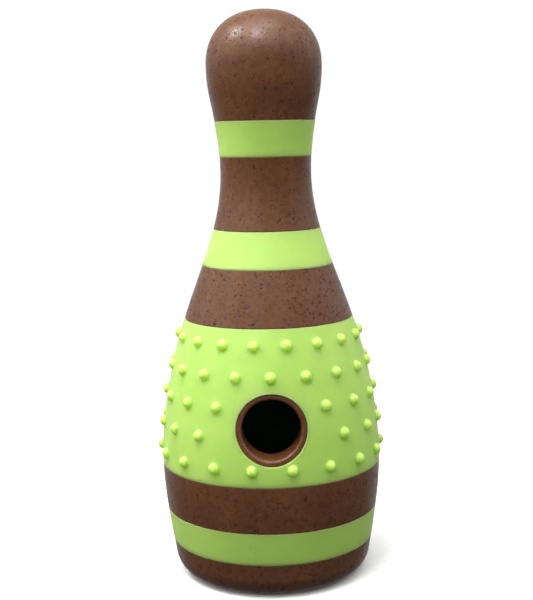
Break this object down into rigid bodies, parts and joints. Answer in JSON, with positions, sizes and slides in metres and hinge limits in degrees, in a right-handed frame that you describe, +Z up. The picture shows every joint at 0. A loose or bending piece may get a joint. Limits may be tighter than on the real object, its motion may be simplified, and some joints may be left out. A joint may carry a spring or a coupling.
{
  "type": "treat-dispensing chew toy bowling pin",
  "caption": "Hollow bowling-pin-shaped dog chew toy in stacked hard shells with soft ring grips, a nubbed belly sleeve and a round treat port into an inner chamber.",
  "frame": {"origin": "centre of the flat foot, on the surface the pin stands on", "axes": "+Z up along the pin's axis, -Y towards the treat port (front), +X to the right seen from the front"},
  "size_m": [0.0726, 0.0716, 0.177],
  "materials": {
    "wood_nylon": "brown wood-fibre-filled nylon, semi-gloss moulded skin with dark and reddish flecks",
    "green_rubber": "bright green thermoplastic rubber, satin moulded skin"
  },
  "bodies": {
    "root": {"head_shell": "wood_nylon", "neck_shell": "wood_nylon", "shoulder_shell": "wood_nylon", "belly_drum": "wood_nylon", "base_cup": "wood_nylon", "port_collar": "wood_nylon", "neck_band": "green_rubber", "shoulder_band": "green_rubber", "belly_sleeve": "green_rubber", "base_band": "green_rubber", "chamber_liner": "green_rubber"}
  },
  "joints": []
}
